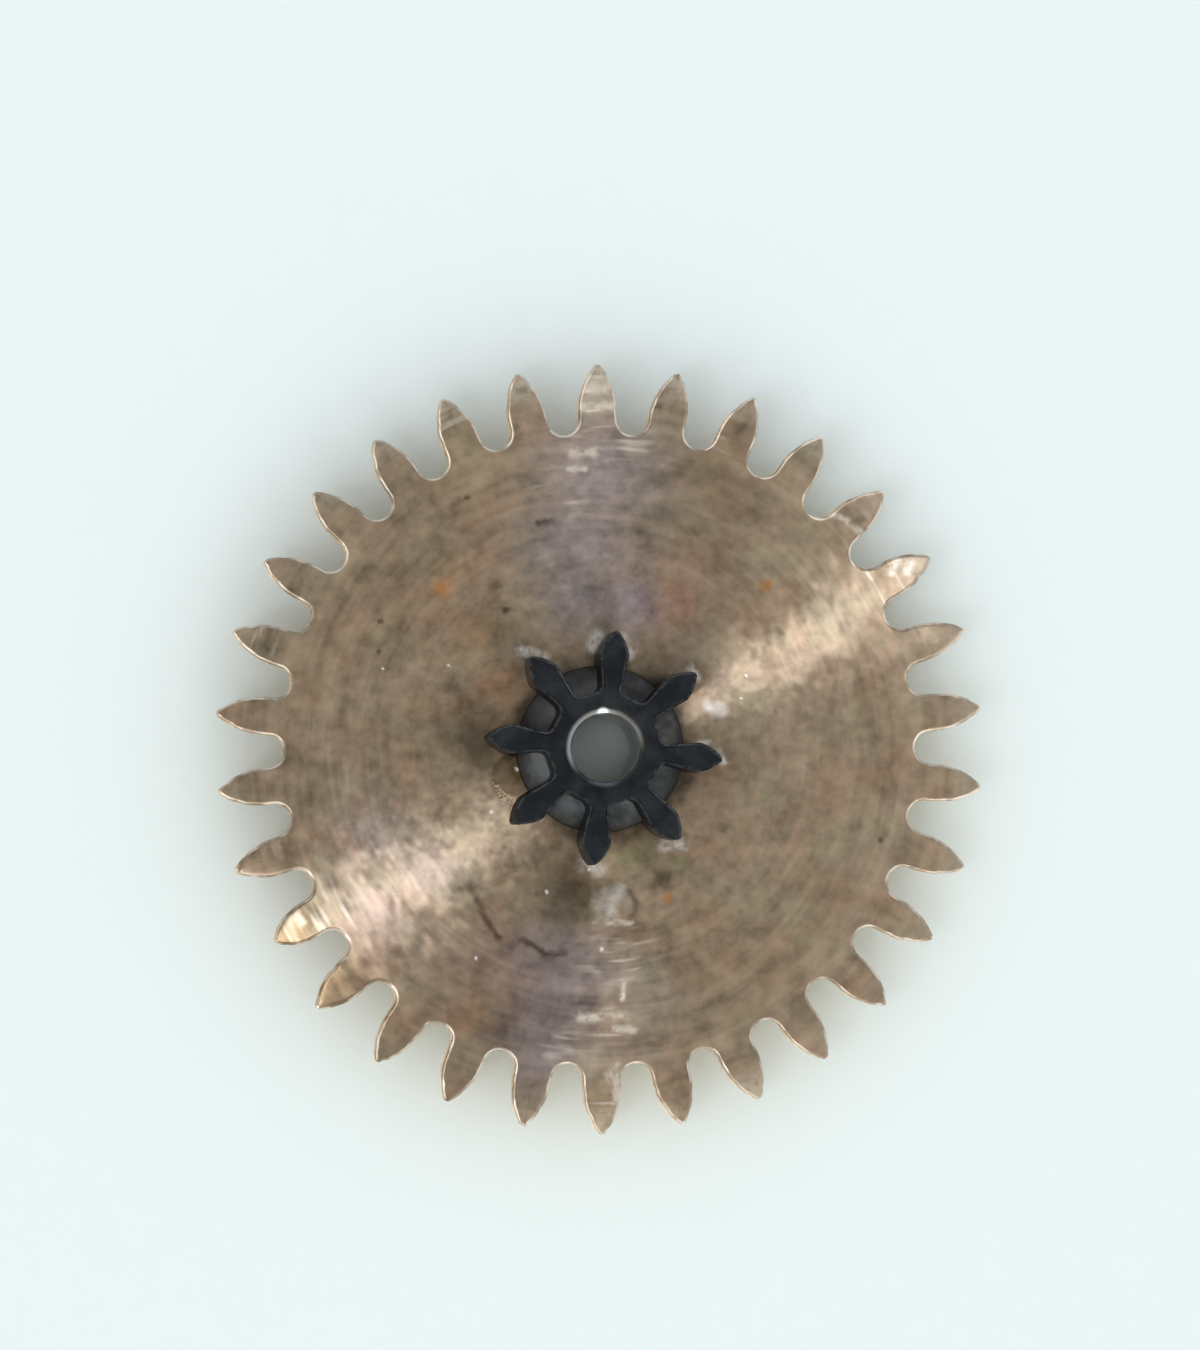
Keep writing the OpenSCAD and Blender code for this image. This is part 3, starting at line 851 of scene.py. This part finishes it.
# The bore's mouth is bare, with a painted reflection that makes its upper side bright and painted
# shade that makes it dull below, but for a paler place.
LIT_MOUTH = (0.30, 0.31, 0.30)
SHADED_MOUTH = (0.055, 0.057, 0.055)
PALE_MOUTH = (0.14, 0.15, 0.15)
lit_side = steel.smooth(steel.towards(steel.around, (-0.3, 0.95, 0)), -0.5, 0.2)
in_mouth = steel.smooth(steel.radius, mouth_r - 0.002, mouth_r - 0.016)
mouth = steel.blend(steel.spot(steel.flat, -0.02, -0.29, 0.16), SHADED_MOUTH, PALE_MOUTH)
mouth = steel.times(steel.blend(lit_side, mouth, LIT_MOUTH),
                    steel.smooth(steel.radius, 0.276, 0.292, 1.0, 0.5))
colour = steel.blend(in_mouth, colour, mouth)

# The bore's wall is polished by the post, most of all low down and just below the mouth, with
# painted shade on its right side, and a painted highlight on one spot at the mouth's top.
POLISHED = (0.84, 0.83, 0.79)
HALF_POLISHED = (0.45, 0.46, 0.44)
WORN_BRIGHT = (0.85, 0.86, 0.84)
GLINT = (0.9, 0.92, 0.92)
in_bore = (steel.smooth(steel.radius, bore_r + 0.012, bore_r + 0.004)
           * steel.smooth(steel.height, pinion_top - 0.026, pinion_top - 0.036))
wall = steel.blend(steel.smooth(steel.height, 0.3, 1.1), POLISHED, HALF_POLISHED)
shaded_side = steel.towards(steel.around, (0.9, -0.4, 0))
wall = steel.times(wall, steel.smooth(shaded_side, -0.3, 0.8, 1.0, 0.6))
wall = steel.blend(steel.smooth(steel.height, 1.02, 1.18), wall, WORN_BRIGHT)
colour = steel.blend(in_bore, colour, wall)
glint = steel.spot(steel.flat, -0.016, 0.259, 0.06, 0.7)
colour = steel.blend(glint, colour, GLINT)

bright = steel.whichever([in_bore, in_mouth, glint])
steel.feed(steel.shader.inputs["Base Color"], colour)
steel.feed(steel.shader.inputs["Metallic"], steel.math("MAXIMUM", bright, steel.wear))
steel.feed(steel.shader.inputs["Roughness"],
           0.45 + 0.2 * in_gap - 0.15 * bright + 0.1 * (specks - 0.5))
marks = 0.0006 * specks + 0.001 * steel.turning(3.0, 40.0, 2.0, 2.0)
bump = steel.node("ShaderNodeBump", {}, {"Strength": 1.0, "Distance": MM, "Height": marks})
steel.feed(steel.shader.inputs["Normal"], bump)

pinion = solid_of_rings("steel_pinion", pinion_rings, pinion_wear, steel.material)
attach(pinion, "root")
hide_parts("pinion")


# The stage: a plain pale sheet that lets light into itself a little way, as paper does, and a
# dome of soft light. It is brighter overhead and on the right, darker in a band from the lower
# left to the upper right, and cooler towards the upper right. Two lamps, a broad cool one and a
# narrow one, stand on the near side, and a narrow bright one stands high on the lower left.
PAPER = (0.828, 0.905, 0.865)
FLOOR_HALF = 0.4
floor_mesh = bpy.data.meshes.new("floor")
floor_corners = FLOOR_HALF * np.array([(-1, -1, 0), (1, -1, 0), (1, 1, 0), (-1, 1, 0)])
floor_mesh.from_pydata(floor_corners.tolist(), [], [(0, 1, 2, 3)])
paper = Surface("pale_paper", {"Base Color": (*PAPER, 1), "Roughness": 0.9,
                               "Specular IOR Level": 0.1, "Subsurface Weight": 1.0,
                               "Subsurface Radius": (1.0, 1.0, 1.0), "Subsurface Scale": 0.75 * MM})
paper.shader.subsurface_method = "BURLEY"
floor_mesh.materials.append(paper.material)
floor = bpy.data.objects.new("floor", floor_mesh)
bpy.context.scene.collection.objects.link(floor)

world = bpy.data.worlds.new("dome")
bpy.context.scene.world = world
world.use_nodes = True
dome = Finish(world.node_tree)
direction = dome.node("ShaderNodeTexCoord", {}, {}, "Generated")
rise = dome.node("ShaderNodeSeparateXYZ", {}, {0: direction}, 2)
lean = dome.towards(direction, (0.9, -0.45, 0.0))
side = dome.towards(direction, (0.87, -0.5, 0.0))
strength = (dome.smooth(rise, 0.5, 0.95, 0.68, 0.98) * (1 + 0.3 * lean)
            * dome.smooth(side * side, 0.0, 0.2, 0.82, 1.12))
COOL_SKY = (0.92, 1.0, 1.13)
WARM_SKY = (1.05, 1.0, 0.92)
lower_left = dome.towards(direction, (-0.5, -0.87, 0.0))
sky = dome.blend(dome.smooth(lower_left, -0.7, 0.7), COOL_SKY, WARM_SKY)
background = world.node_tree.nodes["Background"]
dome.feed(background.inputs["Color"], sky)
dome.feed(background.inputs["Strength"], strength)


# The lamps' distance and sizes are in metres.
LAMP_DISTANCE = 0.25


def lamp(name, azimuth, elevation, width, height, radiance, colour):
    """An oval area light that faces the object from an angle round it and an angle above it,
    both in degrees. Its power is its radiance times its area times pi, in watts."""
    data = bpy.data.lights.new(name, "AREA")
    data.shape = "ELLIPSE"
    data.size = width
    data.size_y = height
    data.color = colour
    data.energy = radiance * math.pi * math.pi * width * height / 4
    a, e = math.radians(azimuth), math.radians(elevation)
    towards = Vector((math.cos(a) * math.cos(e), math.sin(a) * math.cos(e), math.sin(e)))
    lamp_object = bpy.data.objects.new(name, data)
    lamp_object.location = towards * LAMP_DISTANCE
    lamp_object.rotation_mode = "QUATERNION"
    lamp_object.rotation_quaternion = towards.to_track_quat("Z", "Y")
    bpy.context.scene.collection.objects.link(lamp_object)


lamp("near_light", 276.3, 36, 0.11, 0.13, 1.6, (0.9, 0.94, 1.0))
lamp("side_light", 213.7, 67.7, 0.011, 0.11, 32, (0.96, 1.01, 1.15))
lamp("far_light", 275.5, 55, 0.012, 0.11, 4.8, (1.0, 0.97, 0.97))

# The camera looks almost straight down from slightly to the left, as the pinion's place over the
# wheel shows. The wheel's centre and tips are where the photograph has them.
PHOTO_WIDTH, PHOTO_HEIGHT = 1200, 1350
WHEEL_CENTRE_PX = (599.7, 749.2)
WHEEL_TIP_PX = 385.0
PHOTO_TURN = math.radians(0.37)
CAMERA_DISTANCE = 100.0
CAMERA_ASIDE = (-6.3, -1.96, 0)
mm_per_px = tooth_tip_r / WHEEL_TIP_PX
aim = Vector(((PHOTO_WIDTH / 2 - WHEEL_CENTRE_PX[0]) * mm_per_px,
              (WHEEL_CENTRE_PX[1] - PHOTO_HEIGHT / 2) * mm_per_px, wheel_top))
away = Vector(CAMERA_ASIDE)
away.z = math.sqrt(CAMERA_DISTANCE ** 2 - away.length_squared)
back = away.normalized()
up = Vector((math.sin(PHOTO_TURN), math.cos(PHOTO_TURN), 0))
right = up.cross(back).normalized()
turn = Matrix((right, back.cross(right), back)).transposed()
camera_data = bpy.data.cameras.new("camera")
camera_data.sensor_width = 36
camera_data.lens = camera_data.sensor_width * CAMERA_DISTANCE / (PHOTO_HEIGHT * mm_per_px)
camera_data.clip_start = 0.001
camera_data.clip_end = 2
camera = bpy.data.objects.new("camera", camera_data)
camera.matrix_world = Matrix.Translation((aim + away) * MM) @ turn.to_4x4()
bpy.context.scene.collection.objects.link(camera)
bpy.context.scene.camera = camera
bpy.context.scene.view_settings.view_transform = "Standard"
